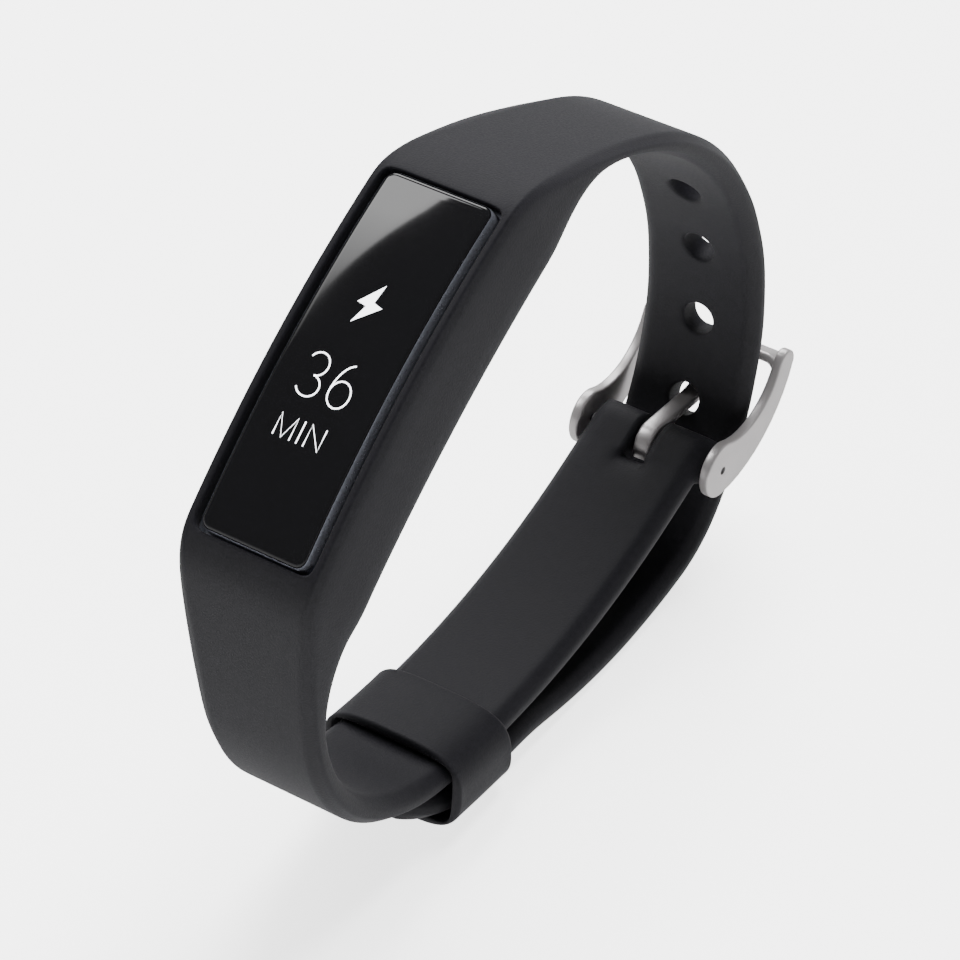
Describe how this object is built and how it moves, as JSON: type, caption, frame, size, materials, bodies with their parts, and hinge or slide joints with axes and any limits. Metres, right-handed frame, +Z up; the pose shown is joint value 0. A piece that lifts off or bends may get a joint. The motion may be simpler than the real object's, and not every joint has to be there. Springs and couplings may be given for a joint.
{
  "type": "fitness tracker band",
  "caption": "Closed silicone wristband with a slim curved tracker in its widened frame, a keeper loop, round sizing holes and a steel pin buckle on a sprung bar.",
  "frame": {"origin": "middle of the bounding box's underside, on the surface the closed band stands on", "axes": "+Z up, +Y along the wrist's axis, +X from the tracker side towards the buckle side"},
  "size_m": [0.0828, 0.0184, 0.0682],
  "materials": {
    "silicone": "matt moulded silicone with a very fine grain",
    "buckle_steel": "satin stainless steel",
    "bar_steel": "turned stainless steel",
    "case_metal": "dark anodised, fine bead blast",
    "lens_black": "high gloss black-backed cover lens",
    "seal_rubber": "matt adhesive gasket",
    "cover_plastic": "fine spark-eroded texture",
    "screw_steel": "blackened steel",
    "panel_glass": "dark display panel",
    "circuit_board": "solder mask green",
    "flex_film": "amber polyimide film",
    "chip_black": "moulded epoxy",
    "cell_pouch": "laminated pouch foil",
    "motor_metal": "drawn can",
    "gold": "gold plated"
  },
  "bodies": {
    "band": {"silicone_band": "silicone", "spring_bar_tube": "bar_steel", "spring_bar_spring": "bar_steel"},
    "keeper": {"keeper_loop": "silicone"},
    "buckle_frame": {"buckle_frame": "buckle_steel"},
    "buckle_tongue": {"buckle_tongue": "buckle_steel"},
    "bar_tip_near": {"spring_bar_tip_near": "bar_steel"},
    "bar_tip_far": {"spring_bar_tip_far": "bar_steel"},
    "tracker": {"tracker_case": "case_metal", "cover_lens": "lens_black", "lens_seal": "seal_rubber", "back_cover": "cover_plastic", "back_seal": "seal_rubber", "cover_screws": "screw_steel", "display_panel": "panel_glass", "display_flex": "flex_film", "inner_chassis": "cover_plastic", "main_board": "circuit_board", "processor_chip": "chip_black", "radio_chip": "chip_black", "motion_sensor": "chip_black", "battery_cell": "cell_pouch", "antenna_strip": "gold", "vibration_motor": "motor_metal", "charging_contacts": "gold", "contact_springs": "gold"},
    "motor_rotor": {"motor_rotor": "motor_metal"}
  },
  "joints": [
    {"name": "tracker_release", "type": "slide", "parent": "band", "child": "tracker", "axis": [0.5544, 0, -0.8322], "range_m": [0, 0.014]},
    {"name": "keeper_slide", "type": "hinge", "parent": "band", "child": "keeper", "pos_m": [-0.0106, 0, 0.08802], "axis": [0, -1, 0], "range_deg": [-1.5, 3]},
    {"name": "buckle_swing", "type": "hinge", "parent": "band", "child": "buckle_frame", "pos_m": [0.02635, 0, 0.01414], "axis": [0, -1, 0], "range_deg": [0, 4]},
    {"name": "tongue_lift", "type": "hinge", "parent": "band", "child": "buckle_tongue", "pos_m": [0.02635, 0, 0.01414], "axis": [0, 1, 0], "range_deg": [0, 4]},
    {"name": "bar_tip_near_press", "type": "slide", "parent": "band", "child": "bar_tip_near", "axis": [0, 1, 0], "range_m": [0, 0.0011], "stiffness_N_per_m": 300, "springref_m": -0.0015, "deforming": ["spring_bar_spring"]},
    {"name": "bar_tip_far_press", "type": "slide", "parent": "band", "child": "bar_tip_far", "axis": [0, -1, 0], "range_m": [0, 0.0011], "stiffness_N_per_m": 300, "springref_m": -0.0015, "deforming": ["spring_bar_spring"]},
    {"name": "motor_spin", "type": "hinge", "parent": "tracker", "child": "motor_rotor", "pos_m": [-0.00961, 0, 0.06166], "axis": [0, 1, 0], "continuous": true}
  ]
}
